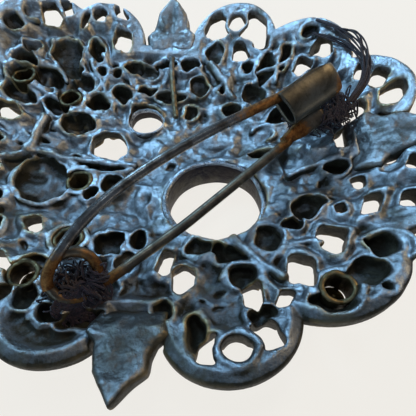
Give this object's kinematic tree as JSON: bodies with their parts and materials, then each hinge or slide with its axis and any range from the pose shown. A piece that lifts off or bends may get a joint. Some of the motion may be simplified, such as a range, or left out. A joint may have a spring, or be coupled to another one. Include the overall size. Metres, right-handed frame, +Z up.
{
  "type": "brooch",
  "caption": "Openwork cast metal brooch with a scalloped rim, four leaves, an oval setting, small stones and a sewn-on safety pin at the back.",
  "frame": {"origin": "middle of the brooch's outline, on the plane that its front rests on", "axes": "+X to the side leaf at the pin's cap end, +Y to the top leaf, +Z up out of the back"},
  "size_m": [0.066, 0.06, 0.0159],
  "materials": {
    "cast_metal": "antiqued white metal casting, dark in the recesses",
    "leaf_metal": "antiqued white metal, worn bright on top",
    "bezel_metal": "darkened white metal",
    "collet_brass": "tarnished brass tube",
    "paste_stone": "foiled paste",
    "pin_wire": "dulled plated steel with rust spots",
    "pin_brass": "tarnished folded sheet",
    "thread": "dark purple sewing thread"
  },
  "bodies": {
    "brooch": {"openwork_plate": "cast_metal", "leaf_top": "leaf_metal", "leaf_right": "leaf_metal", "leaf_bottom": "leaf_metal", "leaf_left": "leaf_metal", "oval_bezel": "bezel_metal", "round_bezel": "bezel_metal", "stem_bar": "cast_metal", "collet_1": "collet_brass", "stone_1": "paste_stone", "collet_2": "collet_brass", "stone_2": "paste_stone", "collet_3": "collet_brass", "stone_3": "paste_stone", "collet_4": "collet_brass", "stone_4": "paste_stone", "collet_5": "collet_brass", "stone_5": "paste_stone", "collet_6": "collet_brass", "stone_6": "paste_stone", "pin_wire": "pin_wire", "pin_tab": "pin_brass", "pin_cap": "pin_brass", "coil_lashing": "thread", "cap_lashing": "thread", "thread_strand_1": "thread", "thread_strand_2": "thread", "thread_strand_3": "thread"},
    "arm": {"pin_arm": "pin_wire"}
  },
  "joints": [
    {"name": "pin_open", "type": "hinge", "parent": "brooch", "child": "arm", "pos_m": [-0.0056, -0.019, 0.0092], "axis": [0.417, -0.5737, 0.7049], "range_deg": [0, 50]}
  ]
}
